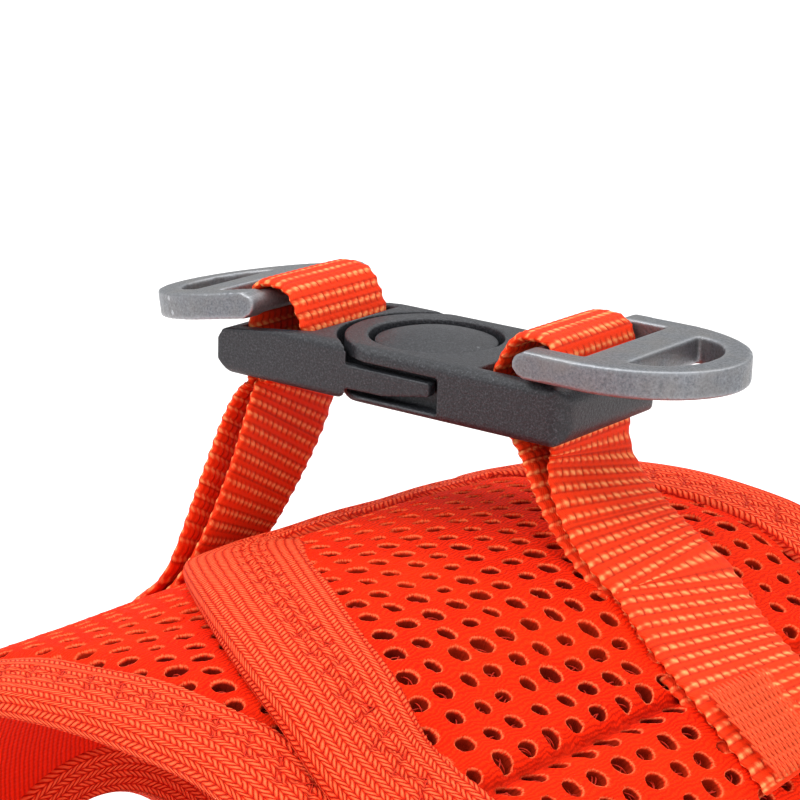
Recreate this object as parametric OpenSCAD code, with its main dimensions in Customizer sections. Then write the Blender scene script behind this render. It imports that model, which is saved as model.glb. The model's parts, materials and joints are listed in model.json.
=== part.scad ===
// Step-in vest harness for a cat or small dog, with a push-button clasp and two leash rings.
// X runs across the back, Y along the spine towards the rear, Z up. It stands on its chest panel.

/* [Vest] */
// Width across the ribs
vest_width = 134; // [110:1:160]
// Height from the chest to the crest of the back
vest_height = 89; // [75:1:105]
// Length of the back from the neck hem to the rear hem
back_length = 120; // [110:1:145]
// Drop of the crest 50 mm away from the clasp
crest_sag = 1.4; // [0:0.1:5]
// Sideways drift of the crest per mm of length
crest_skew = 0.12; // [0:0.01:0.2]
// Thickness of the air mesh
mesh_t = 2.6; // [2:0.1:3]
// Height of the right wing's layer above the left wing's
wing_lift = 3.6; // [3.4:0.1:4.2]

/* [Binding] */
// Width of the binding tape at the neck and rear hems
hem_tape_w = 13; // [10:0.5:15]
// Width of the binding tape along the right wing's front edge
wing_tape_w = 16.5; // [12:0.5:18]
// Width of the binding tape round each leg opening
leg_tape_w = 8; // [6:0.5:9]
// How far the tape stands proud of the mesh on each side
tape_proud = 0.4; // [0.3:0.05:0.4]

/* [Leg openings] */
// Length of each leg opening along the body
leg_length = 40; // [32:1:44]
// Angle round the body of each opening's centre, from the crest
leg_angle = 125; // [120:1:127]
// Half of the angle that each opening spans
leg_half_angle = 26; // [20:1:27]

/* [Webbing] */
// Width of the webbing
web_w = 20; // [16:0.5:21]
// Thickness of one ply of webbing
web_t = 1.5; // [1.2:0.1:1.6]

/* [Clasp] */
// Width of the clasp
clasp_w = 25.8; // [24:0.1:28]
// Thickness of the clasp
clasp_t = 8.6; // [8.6:0.1:10]
// Distance from the button's centre to the housing's end
housing_reach = 30.4; // [30:0.1:32]
// Distance from the button's centre to the plug's end
plug_reach = 30.8; // [30:0.1:32]
// Radius of the round boss round the button
boss_r = 13.4; // [13:0.1:14]
// Radius of the button's well
well_r = 9.9; // [9:0.1:10.5]
// Clearance round the button
button_gap = 0.9; // [0.3:0.05:1.2]
// Travel of the button
button_travel = 1.4; // [1:0.1:1.5]
// Gap between the plug's curved edge and the boss
boss_gap = 1.1; // [0.8:0.1:1.5]
// Height of the clasp's top above the crest
clasp_rise = 28; // [24:0.5:34]

/* [Leash rings] */
// Length of the ring beyond its straight bar
ring_reach = 25.6; // [24:0.1:28]
// Width of the ring along its straight bar
ring_w = 29; // [27:0.5:31]
// Thickness of the ring
ring_t = 4; // [3.4:0.1:4.4]
// Distance from the button's centre to each ring's bar
ring_x = 24.4; // [24:0.1:25]
// Droop of the left ring at rest, in degrees
left_droop = 11; // [0:1:12]

/* [Hidden] */

mesh_red = [1.0, 0.2, 0.04];
tape_red = [0.95, 0.25, 0.08];
web_orange = [0.9, 0.35, 0.1];
plastic_black = [0.2, 0.2, 0.21];
cast_grey = [0.55, 0.56, 0.57];
spring_steel = [0.75, 0.75, 0.77];

// Vest: places measured from the clasp along the back
clasp_y = 21;
clasp_x = -16.6;
clasp_z = vest_height + clasp_rise;
neck_y = -back_length / 2;
rear_y = back_length / 2;
neck_slant = 8;
rear_slant = 14;
mid_z = vest_height / 2;
flat_depth = 3;
sag_length = 50;
seam_clear = 0.05;

// Vest: angles round the body, from the crest, positive towards +X
left_wing_end = 27;
left_seam = -52;
right_seam = 34;
wing_edge = -34;
wing_edge_tape = 10;
corner_start = 24;
corner_run = 57;
corner_rise = 43;
corner_power = 1.4;
tape_taper_from = 40;
tape_taper_to = 80;
lift_from = 12;
lift_to = 32;
leg_tape_angle = 8;
leg_y = -1;
leg_stations = 40;
leg_span = leg_half_angle + leg_tape_angle;
leg_top = leg_angle - leg_span;
leg_bottom = leg_angle + leg_span;
u_step = 6;
y_step = 11;

// Hook-and-loop closure between the wings
closure_t = 0.35;
closure_gap = 0.1;
closure_from = -24;
closure_to = 6;
closure_y0 = 0;
closure_y1 = 40;

// Clasp: heights below the clasp's top face
button_t = 1.3;
dome_rise = 1.6;
dome_top = 0.8;
button_low = dome_rise - dome_top + button_t;
spring_solid = 0.5;
web_top = button_low + button_travel + spring_solid;
web_floor = web_top + 1;
tongue_top = 5.3;
tongue_t = 1.0;
plate_t = 1.0;
stem_r = 3;
stem_gap = 0.15;
hook_x0 = -3.4;
hook_x1 = 0.4;
hook_h = 0.8;
window_gap = 0.3;
tongue_w = 9;
tongue_tip = 1.6;
plug_inner_r = boss_r + boss_gap;
edge_r = 1.4;
corner_r = 3;
arm_top = 3.2;
arm_bottom = 6.9;
arm_tip_bottom = 5.2;
arm_tip = 8;
arm_t = 2;
arm_gap = 0.3;
pocket_end = 9.4;
pocket_top = 2.3;
pocket_bottom = 7.5;
arm_root = -15;
end_drop = 1.8;
end_drop_run = 16;

// Webbing slots in the clasp's ends, and the bar that the webbing turns round
slot_in = 14.8;
slot_end_wall = 2.2;
slot_w = web_w + 1;
bar_r = 1.9;
bar_x = 21;
bar_z = -5.4;
bar_gap = 0.25;

plate_gap = 0.05;
tongue_root = -plug_inner_r + 0.05;

// Straps: where each one lands on its wing, as an angle and a station, and where its sewn end stops
left_land = -48;
left_land_y = 6.5;
left_sewn = -66;
left_drift = -0.1;
right_land = 20;
right_land_y = 17.5;
right_sewn = 50;
right_drift = -0.55;
right_turn = 30;
landing = 1;
sewn_gap = 0.25;
ply_gap = 0.1;
loop_exit = -clasp_t - 2;
left_exit_x = 25.1;
left_exit_way = [0.4, 0, -0.917];
right_exit_x = 21.6;
right_exit_way = [0.55, 0, -0.835];
left_outer_way = [-0.75, 0, -0.66];
left_outer_pulls = [9, 8];
left_inner_pulls = [4, 12];
right_outer_pulls = [4, 11];
right_inner_pulls = [8, 10];
ply_stations = 6;

// Rings
ring_z = 2.8;
ring_bar_r = 1.65;
ring_slot_end = 7.6;
ring_cross = 6;
ring_side = 3.6;
eye_side = 5.2;
eye_end = 4.2;
ring_eye_reach = ring_reach - eye_end;
ring_square = 8;
loop_gap = 0.2;
loop_outer = ring_x + ring_bar_r + loop_gap + web_t / 2;
loop_inner = slot_in + 1 + web_t / 2;

// Spring under the button
wire_r = 0.2;
spring_r = 4.6;
spring_turns = 3;
spring_lift = 0.02;

// ---- Curves and solids of the vest ----

function crest(y) = vest_height - crest_sag * pow((y - clasp_y) / sag_length, 2);
function smooth(t) = let (c = min(1, max(0, t))) c * c * (3 - 2 * c);
function lift(u) = wing_lift * (1 - smooth((u - lift_from) / (lift_to - lift_from)));
function neck_hem(u) = neck_y + neck_slant * (1 - cos(u)) / 2;
function rear_hem(u) = rear_y - rear_slant * (1 - cos(u)) / 2;
function wing_tape(u) = hem_tape_w
    + (wing_tape_w - hem_tape_w) * (1 - smooth((u - tape_taper_from) / (tape_taper_to - tape_taper_from)));
function wing_front(u) = neck_y + neck_slant
    + corner_rise * pow(max(0, corner_start - u) / corner_run, corner_power);

// A point of the body at angle u and station y, a depth below its outer skin.
function skin(u, y, depth) = let (
    up = crest(y) - mid_z - depth,
    down = mid_z + flat_depth - depth,
    rise = cos(u) * (cos(u) > 0 ? up : down)
) [crest_skew * y + (vest_width / 2 - depth) * sin(u), y, max(depth + tape_proud, mid_z + rise)];

// A closed solid between two stacks of points, each a grid of rows by columns.
module grid_solid(outer, inner, closed = false) {
    rows = len(outer);
    cols = len(outer[0]);
    flat_points = concat([for (r = outer) each r], [for (r = inner) each r]);
    half = rows * cols;
    last = closed ? rows - 1 : rows - 2;
    skins = [for (i = [0 : last], j = [0 : cols - 2]) let (
        a = i * cols + j,
        b = ((i + 1) % rows) * cols + j
    ) each [[a, b, b + 1], [a, b + 1, a + 1],
        [half + a, half + b + 1, half + b], [half + a, half + a + 1, half + b + 1]]];
    long_edges = [for (i = [0 : last], j = [0, cols - 1]) let (
        a = i * cols + j,
        b = ((i + 1) % rows) * cols + j
    ) each (j == 0 ? [[a, half + a, half + b], [a, half + b, b]]
        : [[a, half + b, half + a], [a, b, half + b]])];
    ends = closed ? [] : [for (i = [0, rows - 1], j = [0 : cols - 2]) let (a = i * cols + j)
        each (i == 0 ? [[a, half + a + 1, half + a], [a, a + 1, half + a + 1]]
        : [[a, half + a, half + a + 1], [a, half + a + 1, a + 1]])];
    polyhedron(points = flat_points, faces = concat(skins, long_edges, ends), convexity = 6);
}

// The angles that a patch's ribs stand at: its two edges, and shared stations between them.
function ribs(u0, u1) = concat([u0], [for (k = [ceil(u0 / u_step) - 1 : -1 : floor(u1 / u_step) + 1])
    k * u_step], [u1]);

// A patch of the vest across a row of ribs, between two hems, from one depth to another.
module patch(angles, front, rear, top = function (u) 0, bottom = function (u) mesh_t) {
    middle = angles[floor(len(angles) / 2)];
    nv = max(1, ceil((rear(middle) - front(middle)) / y_step));
    function layer(depth) = [for (u = angles) [for (j = [0 : nv])
        skin(u, front(u) + (rear(u) - front(u)) * j / nv, depth(u))]];
    grid_solid(layer(top), layer(bottom));
}

// Half the length of a leg opening at angle u, with its edge moved out by a tape.
function leg_half(u, tape, tape_angle) = let (
    s = (abs(u) - leg_angle) / (leg_half_angle + tape_angle)
) (leg_length / 2 + tape) * sqrt(max(0, 1 - s * s));
function leg_edge(u) = leg_half(u, leg_tape_w, leg_tape_angle) + seam_clear;

function leg_ribs(side) = [for (a = [0 : 360 / leg_stations : 180])
    side * leg_angle + leg_span * cos(a)];

module leg_ring(side) {
    n = leg_stations;
    function layer(depth) = [for (i = [0 : n - 1]) [for (s = [0, 1]) let (a = -side * 360 * i / n)
        skin(side * (leg_angle + (leg_half_angle + leg_tape_angle * s) * cos(a)),
            leg_y + (leg_length / 2 + leg_tape_w * s) * sin(a), depth)]];
    grid_solid(layer(-tape_proud), layer(mesh_t + tape_proud), closed = true);
}

// The left wing's end dips inwards under the right one, where the right one comes down.
function dip(u) = wing_lift - lift(u);

module left_wing() color(mesh_red)
    patch(ribs(left_wing_end, left_seam), function (u) neck_hem(u) + hem_tape_w,
        function (u) rear_hem(u) - hem_tape_w, function (u) dip(u), function (u) mesh_t + dip(u));

module right_wing() color(mesh_red)
    patch(ribs(right_seam, wing_edge + wing_edge_tape), function (u) wing_front(u) + wing_tape(u),
        function (u) rear_hem(u) - hem_tape_w, function (u) -lift(u), function (u) mesh_t - lift(u));

module left_side_panel() color(mesh_red)
    patch(ribs(left_seam, -leg_top), function (u) neck_hem(u) + hem_tape_w,
        function (u) rear_hem(u) - hem_tape_w);

module right_side_panel() color(mesh_red)
    patch(ribs(leg_top, right_seam), function (u) wing_front(u) + wing_tape(u),
        function (u) rear_hem(u) - hem_tape_w, function (u) -lift(u), function (u) mesh_t - lift(u));

module left_shoulder_panel() color(mesh_red)
    patch(leg_ribs(-1), function (u) neck_hem(u) + hem_tape_w,
        function (u) leg_y - leg_edge(u));

module right_shoulder_panel() color(mesh_red)
    patch(leg_ribs(1), function (u) wing_front(u) + wing_tape(u),
        function (u) leg_y - leg_edge(u));

module left_girth_panel() color(mesh_red)
    patch(leg_ribs(-1), function (u) leg_y + leg_edge(u),
        function (u) rear_hem(u) - hem_tape_w);

module right_girth_panel() color(mesh_red)
    patch(leg_ribs(1), function (u) leg_y + leg_edge(u),
        function (u) rear_hem(u) - hem_tape_w);

module chest_panel() color(mesh_red)
    patch(ribs(360 - leg_bottom, leg_bottom), function (u) neck_y + neck_slant + hem_tape_w,
        function (u) rear_hem(u) - hem_tape_w);

module closure_loop_strip() color(tape_red)
    patch(ribs(closure_to, closure_from), function (u) closure_y0, function (u) closure_y1,
        function (u) -closure_gap - closure_t, function (u) -closure_gap);

module closure_hook_strip() color(tape_red)
    patch(ribs(closure_to, closure_from), function (u) closure_y0, function (u) closure_y1,
        function (u) -2 * (closure_gap + closure_t), function (u) -2 * closure_gap - closure_t);

module neck_binding_left() color(tape_red)
    patch(ribs(left_wing_end, -180), function (u) neck_hem(u), function (u) neck_hem(u) + hem_tape_w,
        function (u) dip(u) - tape_proud, function (u) mesh_t + tape_proud + dip(u));

module neck_binding_right() color(tape_red)
    patch(ribs(180, wing_edge), function (u) wing_front(u), function (u) wing_front(u) + wing_tape(u),
        function (u) -tape_proud - lift(u), function (u) mesh_t + tape_proud - lift(u));

module wing_edge_binding() color(tape_red)
    patch(ribs(wing_edge + wing_edge_tape, wing_edge), function (u) wing_front(u) + wing_tape(u),
        function (u) rear_hem(u), function (u) -tape_proud - lift(u),
        function (u) mesh_t + tape_proud - lift(u));

module rear_binding_left() color(tape_red)
    patch(ribs(left_wing_end, -180), function (u) rear_hem(u) - hem_tape_w, function (u) rear_hem(u),
        function (u) dip(u) - tape_proud, function (u) mesh_t + tape_proud + dip(u));

module rear_binding_right() color(tape_red)
    patch(ribs(180, wing_edge + wing_edge_tape), function (u) rear_hem(u) - hem_tape_w,
        function (u) rear_hem(u), function (u) -tape_proud - lift(u),
        function (u) mesh_t + tape_proud - lift(u));

module leg_binding_left() color(tape_red) leg_ring(-1);

module leg_binding_right() color(tape_red) leg_ring(1);

// ---- Webbing ----

module at_clasp() translate([clasp_x, clasp_y, clasp_z]) children();

// A flat strip along stations of [centre, direction across the face], a half width to each side.
module strip(stations) {
    function corner(s, side, face) = s[0] + side * web_w / 2 * s[2] + face * web_t / 2 * s[1];
    grid_solid([for (s = stations) [corner(s, -1, 1), corner(s, 1, 1)]],
        [for (s = stations) [corner(s, -1, -1), corner(s, 1, -1)]]);
}

across = [0, 1, 0];
function unit(v) = v / norm(v);

// Webbing that comes up through the slot, turns over the ring's bar and goes down again, slack,
// and passes under the clasp's bar to leave at exit_x along the direction exit_way.
module web_loop(exit_x, exit_way) {
    turn_r = loop_outer - ring_x;
    top = ring_z + turn_r;
    under = bar_z - bar_r - bar_gap - web_t / 2;
    exit_face = [exit_way[2], 0, -exit_way[0]];
    strip(concat(
        [[[ring_x + turn_r, 0, loop_exit], [1, 0, 0], across]],
        [for (a = [0 : 15 : 90]) let (d = [cos(a), 0, sin(a)])
            [[ring_x, 0, ring_z] + turn_r * d, d, across]],
        [[[loop_inner + 5.2, 0, top], [0, 0, 1], across]],
        [[[loop_inner + 3.4, 0, top - 0.6], [-0.6, 0, 0.8], across]],
        [[[loop_inner + 2.2, 0, top - 2.2], [-0.9, 0, 0.44], across]],
        [[[loop_inner + 0.3, 0, top - 6.2], [-1, 0, 0], across]],
        [[[loop_inner, 0, bar_z + 0.8], [-1, 0, 0], across]],
        [[[loop_inner + 1.3, 0, under + 0.8], [-0.75, 0, -0.66], across]],
        [[[(loop_inner + exit_x) / 2 + 0.6, 0, under - 0.3], [-0.2, 0, -0.98], across]],
        [[[exit_x, 0, loop_exit] - exit_way, exit_face, across]],
        [[[exit_x, 0, loop_exit], exit_face, across]]));
}

module strap_left_loop() color(web_orange) at_clasp() mirror([1, 0, 0])
    web_loop(left_exit_x, left_exit_way);

module strap_right_loop() color(web_orange) at_clasp() web_loop(right_exit_x, right_exit_way);

// A point of the vest, seen from the clasp, and the way down its side there.
function vest_point(u, y, depth) = skin(u, y, depth) - [clasp_x, clasp_y, clasp_z];
function left_way(u) = unit(skin(u - 1, clasp_y, 0) - skin(u + 1, clasp_y, 0));
function right_way(u) = unit(skin(u + 1, clasp_y, -lift(u + 1)) - skin(u - 1, clasp_y, -lift(u - 1)));

// The middle of one ply where it lands on its wing, counted from the wing outwards.
function left_end(n) = vest_point(left_land, left_land_y, -sewn_gap * n - (n - 0.5) * web_t);
function right_end(n) = vest_point(right_land, right_land_y,
    -lift(right_land) - sewn_gap * n - (n - 0.5) * web_t);

function flipped(v) = [-v[0], v[1], v[2]];

// One ply, on a smooth curve that leaves its start along one direction and lands along another.
module ply(start, way, end, end_way, pulls) {
    p = [start, start + pulls[0] * way, end - pulls[1] * end_way, end];
    function at(t) = pow(1 - t, 3) * p[0] + 3 * pow(1 - t, 2) * t * p[1]
        + 3 * (1 - t) * t * t * p[2] + pow(t, 3) * p[3];
    function heading(t) = unit(pow(1 - t, 2) * (p[1] - p[0]) + 2 * (1 - t) * t * (p[2] - p[1])
        + t * t * (p[3] - p[2]));
    strip([for (i = [0 : ply_stations]) let (
        t = i / ply_stations,
        d = heading(t),
        weft = unit(across - (across * d) * d)
    ) [at(t), cross(d, weft), weft]]);
}

down = [0, 0, -1];

module strap_left_outer_ply() color(web_orange) at_clasp()
    ply([-loop_outer, 0, loop_exit] + (web_t / 2 + ply_gap) * left_outer_way, left_outer_way,
        left_end(2), left_way(left_land), left_outer_pulls);

module strap_left_inner_ply() color(web_orange) at_clasp()
    mirror([1, 0, 0]) ply([left_exit_x, 0, loop_exit] + ply_gap * left_exit_way, left_exit_way,
        flipped(left_end(1)), flipped(left_way(left_land)), left_inner_pulls);

module strap_right_outer_ply() color(web_orange) at_clasp()
    ply([loop_outer, 0, loop_exit - ply_gap], down, right_end(2), right_way(right_land),
        right_outer_pulls);

module strap_right_inner_ply() color(web_orange) at_clasp()
    ply([right_exit_x, 0, loop_exit] + ply_gap * right_exit_way, right_exit_way, right_end(1),
        right_way(right_land), right_inner_pulls);

module strap_left_anchor() color(web_orange)
    patch(ribs(left_land - landing, left_sewn),
        function (u) left_land_y - web_w / 2 + left_drift * (u - left_land),
        function (u) left_land_y + web_w / 2 + left_drift * (u - left_land),
        function (u) -sewn_gap - 2 * web_t, function (u) -sewn_gap);

// The right strap's middle along its sewn end, which turns slowly back across the panel.
function right_middle(u) = let (x = u - right_land)
    right_land_y + right_drift * (x - x * x / (2 * right_turn));

module strap_right_anchor() color(web_orange)
    patch(ribs(right_sewn, right_land + landing),
        function (u) right_middle(u) - web_w / 2,
        function (u) right_middle(u) + web_w / 2,
        function (u) -lift(u) - sewn_gap - 2 * web_t, function (u) -lift(u) - sewn_gap);

// ---- Clasp ----

// A rectangle with its corners rounded, centred on the origin.
module round_rect(w, h, r) {
    square([w - 2 * r, h], center = true);
    square([w, h - 2 * r], center = true);
    for (x = [-1, 1], y = [-1, 1]) translate([x * (w / 2 - r), y * (h / 2 - r)]) circle(r, $fn = 32);
}

// The clasp's section across X, with rounded long edges, over a stretch of X.
module clasp_section(x0, x1) translate([x0, 0, -clasp_t / 2]) rotate([90, 0, 90])
    linear_extrude(x1 - x0) round_rect(clasp_w, clasp_t, edge_r);

// The slot for the webbing and the bar across it, at the end on the +X side.
module end_slot(reach) translate([slot_in, -slot_w / 2, -clasp_t - 1])
    cube([reach - slot_end_wall - slot_in, slot_w, clasp_t + 2]);
module end_bar() translate([bar_x, slot_w / 2 + 0.5, bar_z]) rotate([90, 0, 0])
    cylinder(h = slot_w + 1, r = bar_r, $fn = 48);

module arm_pocket(side) translate([-boss_r - 1, side > 0 ? clasp_w / 2 - arm_t - arm_gap
    : -clasp_w / 2 - 1, -pocket_bottom])
    cube([boss_r + 1 + pocket_end, arm_t + arm_gap + 1, pocket_bottom - pocket_top]);

module clasp_housing() color(plastic_black) at_clasp() {
    difference() {
        intersection() {
            translate([0, 0, -clasp_t]) linear_extrude(clasp_t) {
                circle(boss_r, $fn = 96);
                translate([housing_reach / 2, 0])
                    round_rect(housing_reach, clasp_w, corner_r);
            }
            clasp_section(-boss_r - 1, housing_reach + 1);
            translate([0, clasp_w / 2 + 1, -clasp_t / 2]) rotate([90, 0, 0])
                linear_extrude(clasp_w + 2) round_rect(2 * housing_reach, clasp_t, 2 * edge_r);
        }
        translate([0, 0, -web_top]) cylinder(h = web_top + 1, r = well_r, $fn = 96);
        translate([0, 0, -web_floor - 1]) cylinder(h = web_floor, r = stem_r + window_gap, $fn = 48);
        translate([hook_x0 - window_gap, -tongue_w / 4 - window_gap, -web_floor - 1])
            cube([stem_r, tongue_w / 2 + 2 * window_gap, web_floor]);
        translate([-boss_r - 1, -tongue_w / 2 - window_gap, -clasp_t + plate_t])
            cube([boss_r + 1 + stem_r + 2, tongue_w + 2 * window_gap, clasp_t - plate_t - web_floor]);
        translate([0, 0, -clasp_t - 1]) cylinder(h = plate_t + 1, r = well_r + plate_gap, $fn = 96);
        for (side = [-1, 1]) arm_pocket(side);
        end_slot(housing_reach);
    }
    end_bar();
}

module clasp_base_plate() color(plastic_black) at_clasp()
    translate([0, 0, -clasp_t]) cylinder(h = plate_t - plate_gap, r = well_r, $fn = 96);

module clasp_button() {
    r = well_r - button_gap;
    ball_r = (r * r + dome_rise * dome_rise) / (2 * dome_rise);
    disc_base = -button_low;
    stem_base = hook_h - tongue_top + stem_gap;
    color(plastic_black) at_clasp() {
        intersection() {
            translate([0, 0, disc_base]) cylinder(h = dome_top - disc_base, r = r, $fn = 96);
            translate([0, 0, dome_top - ball_r]) sphere(ball_r, $fn = 96);
        }
        translate([0, 0, stem_base])
            cylinder(h = disc_base - stem_base + button_t / 2, r = stem_r, $fn = 48);
    }
}

module button_spring() {
    low = -web_top + wire_r + spring_lift;
    high = -button_low - wire_r - spring_lift;
    steps = 20 * spring_turns;
    function coil(i, dr, dz) = let (a = 360 * spring_turns * i / steps)
        [(spring_r + dr) * cos(a), (spring_r + dr) * sin(a), low + (high - low) * i / steps + dz];
    color(spring_steel) at_clasp() grid_solid(
        [for (i = [0 : steps]) [coil(i, wire_r, wire_r), coil(i, -wire_r, wire_r)]],
        [for (i = [0 : steps]) [coil(i, wire_r, -wire_r), coil(i, -wire_r, -wire_r)]]);
}

module plug_arm(side) translate([0, side > 0 ? clasp_w / 2 : -clasp_w / 2 + arm_t, 0])
    rotate([90, 0, 0]) linear_extrude(arm_t)
    polygon([[arm_root, -arm_top], [arm_root, -arm_bottom], [0, -arm_bottom + 0.3],
        [arm_tip, -arm_tip_bottom], [arm_tip, -arm_top]]);

module clasp_plug() color(plastic_black) at_clasp() {
    difference() {
        intersection() {
            translate([-plug_reach / 2 - corner_r, 0, -clasp_t])
                linear_extrude(clasp_t) round_rect(plug_reach, clasp_w, corner_r);
            clasp_section(-plug_reach - 1, 0);
            translate([0, clasp_w / 2 + 1, 0]) rotate([90, 0, 0]) linear_extrude(clasp_w + 2)
                polygon([[0, 0], [end_drop_run - plug_reach, 0], [-plug_reach + 1, -end_drop],
                    [-plug_reach, -end_drop - 1.5], [-plug_reach, -clasp_t + 2],
                    [-plug_reach + 2, -clasp_t], [0, -clasp_t]]);
        }
        translate([0, 0, -clasp_t - 1]) cylinder(h = clasp_t + 2, r = plug_inner_r, $fn = 96);
        translate([-slot_in, -tongue_w / 2, -tongue_top - tongue_t])
            cube([slot_in, tongue_w, tongue_t]);
        mirror([1, 0, 0]) end_slot(plug_reach);
    }
    mirror([1, 0, 0]) end_bar();
    for (side = [-1, 1]) plug_arm(side);
}

// The plug's sprung tongue. Its hook stands behind the edge of the window in the housing's web.
module clasp_tongue() color(plastic_black) at_clasp() {
    translate([tongue_root, -tongue_w / 2, -tongue_top - tongue_t])
        cube([tongue_tip - tongue_root, tongue_w, tongue_t]);
    translate([hook_x0, -tongue_w / 4, -tongue_top - 0.1])
        cube([hook_x1 - hook_x0, tongue_w / 2, hook_h + 0.1]);
}

// ---- Leash rings ----

// Half of an ellipse beyond x, as an outline.
module half_oval(x, rx, ry) translate([x, 0])
    polygon([for (a = [-90 : 7.5 : 90]) [rx * cos(a), ry * sin(a)]]);

module leash_ring() {
    eye_x = ring_slot_end + ring_cross;
    slot_y = ring_w - 2 * ring_side;
    translate([0, ring_w / 2, 0]) rotate([90, 0, 0]) cylinder(h = ring_w, r = ring_bar_r, $fn = 48);
    translate([0, 0, -ring_t / 2]) linear_extrude(ring_t) difference() {
        union() {
            translate([0, -ring_w / 2]) square([ring_square, ring_w]);
            half_oval(ring_square - 0.01, ring_reach - ring_square, ring_w / 2);
        }
        translate([-1, -slot_y / 2]) square([ring_slot_end + 1, slot_y]);
        half_oval(eye_x, ring_eye_reach - eye_x, ring_w / 2 - eye_side);
    }
}

module leash_ring_left() color(cast_grey) at_clasp() translate([-ring_x, 0, ring_z])
    rotate([0, -left_droop, 0]) mirror([1, 0, 0]) leash_ring();

module leash_ring_right() color(cast_grey) at_clasp() translate([ring_x, 0, ring_z]) leash_ring();

clasp_housing();
clasp_base_plate();
clasp_button();
button_spring();
clasp_plug();
clasp_tongue();
leash_ring_left();
leash_ring_right();
strap_left_loop();
strap_left_outer_ply();
strap_left_inner_ply();
strap_left_anchor();
strap_right_loop();
strap_right_outer_ply();
strap_right_inner_ply();
strap_right_anchor();
left_wing();
right_wing();
left_side_panel();
right_side_panel();
left_shoulder_panel();
right_shoulder_panel();
left_girth_panel();
right_girth_panel();
chest_panel();
closure_loop_strip();
closure_hook_strip();
neck_binding_left();
neck_binding_right();
wing_edge_binding();
rear_binding_left();
rear_binding_right();
leg_binding_left();
leg_binding_right();
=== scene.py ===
"""A small pet vest harness: perforated air mesh, knitted bindings, webbing straps, a clasp and cast rings.

Shapes are worked out in millimetres in the CAD frame (X across the back, Y along it, Z up) and
written to Blender in metres.
"""
import json
import math

import bpy
import mathutils
import numpy as np
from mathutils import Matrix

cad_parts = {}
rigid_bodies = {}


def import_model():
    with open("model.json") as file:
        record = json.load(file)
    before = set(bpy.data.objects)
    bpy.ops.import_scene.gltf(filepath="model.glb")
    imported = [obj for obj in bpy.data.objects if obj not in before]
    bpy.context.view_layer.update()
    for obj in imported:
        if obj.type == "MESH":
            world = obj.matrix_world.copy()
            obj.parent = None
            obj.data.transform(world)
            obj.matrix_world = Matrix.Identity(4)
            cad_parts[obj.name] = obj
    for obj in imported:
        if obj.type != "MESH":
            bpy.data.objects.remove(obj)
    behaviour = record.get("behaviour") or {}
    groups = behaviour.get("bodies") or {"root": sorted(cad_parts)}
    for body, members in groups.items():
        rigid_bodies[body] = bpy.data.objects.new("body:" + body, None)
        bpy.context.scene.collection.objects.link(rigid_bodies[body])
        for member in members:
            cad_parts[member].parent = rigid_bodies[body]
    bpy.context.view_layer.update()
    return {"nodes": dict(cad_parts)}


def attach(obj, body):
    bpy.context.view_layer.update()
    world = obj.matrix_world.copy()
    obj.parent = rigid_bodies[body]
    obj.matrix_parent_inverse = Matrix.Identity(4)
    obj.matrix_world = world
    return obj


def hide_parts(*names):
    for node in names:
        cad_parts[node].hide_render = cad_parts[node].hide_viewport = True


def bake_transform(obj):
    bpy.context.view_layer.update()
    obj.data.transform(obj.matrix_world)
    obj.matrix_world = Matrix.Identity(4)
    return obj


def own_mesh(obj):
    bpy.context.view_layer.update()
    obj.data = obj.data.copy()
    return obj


MM = 0.001

# ---- Sizes shared with the CAD part, in mm and degrees ----
CLASP = np.array([-16.6, 21.0, 117.0])     # top of the clasp, at the button's centre
HALF_WIDTH = 67.0
HEIGHT = 89.0
SAG, SAG_LENGTH, SKEW = 1.4, 50.0, 0.12
MID_Z, FLAT_DEPTH = 44.5, 3.0
MESH_T = 2.6
TAPE_PROUD = 0.4
WING_LIFT, LIFT_FROM, LIFT_RUN = 3.6, 12.0, 20.0
HEM_TAPE, LEG_TAPE = 13.0, 8.0
LEG_ANGLE, LEG_Y, LEG_HALF, LEG_HALF_ANGLE = 125.0, -1.0, 20.0, 26.0
LEG_TAPE_ANGLE = 8.0
LEG_TOP, LEG_BOTTOM = 91.0, 159.0
LEFT_END, LEFT_SEAM, RIGHT_SEAM, WING_EDGE = 27.0, -52.0, 34.0, -34.0
MESH_EDGE = WING_EDGE + 7       # where the right wing's mesh starts, under its edge binding
WING_TAPE_EDGE = WING_EDGE + 10
WEB_W, WEB_T = 20.0, 1.5


def smooth(t):
    c = np.clip(t, 0.0, 1.0)
    return c * c * (3 - 2 * c)


def crest(y):
    return HEIGHT - SAG * ((y - CLASP[1]) / SAG_LENGTH) ** 2


def lift(u):
    return WING_LIFT * (1 - smooth((u - LIFT_FROM) / LIFT_RUN))


def neck_hem(u):
    return -60 + 8 * (1 - np.cos(np.radians(u))) / 2


def rear_hem(u):
    return 60 - 14 * (1 - np.cos(np.radians(u))) / 2


def wing_front(u):
    return -52 + 43 * (np.maximum(0, 24 - u) / 57) ** 1.4


def wing_tape(u):
    return HEM_TAPE + 3.5 * (1 - smooth((u - 40) / 40))


def skin(u, y, out=0.0):
    """Points on the vest at angle u from the crest (degrees) and station y, out mm above its outer face."""
    u, y, out = np.broadcast_arrays(*(np.asarray(v, float) for v in (u, y, out)))
    rise = np.cos(np.radians(u))
    rise = rise * np.where(rise > 0, crest(y) - MID_Z + out, MID_Z + FLAT_DEPTH + out)
    z = np.maximum(TAPE_PROUD - out, MID_Z + rise)
    x = SKEW * y + (HALF_WIDTH + out) * np.sin(np.radians(u))
    return np.stack([x, y, np.maximum(z, 0.02)], axis=-1)


# Length round the vest at the clasp's station, from the crest, against the angle
ANGLES = np.linspace(-200, 200, 4001)
_round = skin(ANGLES, CLASP[1])
_steps = np.linalg.norm(np.diff(_round, axis=0), axis=1)
LENGTHS = np.concatenate([[0], np.cumsum(_steps)])
LENGTHS -= np.interp(0, ANGLES, LENGTHS)


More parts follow.
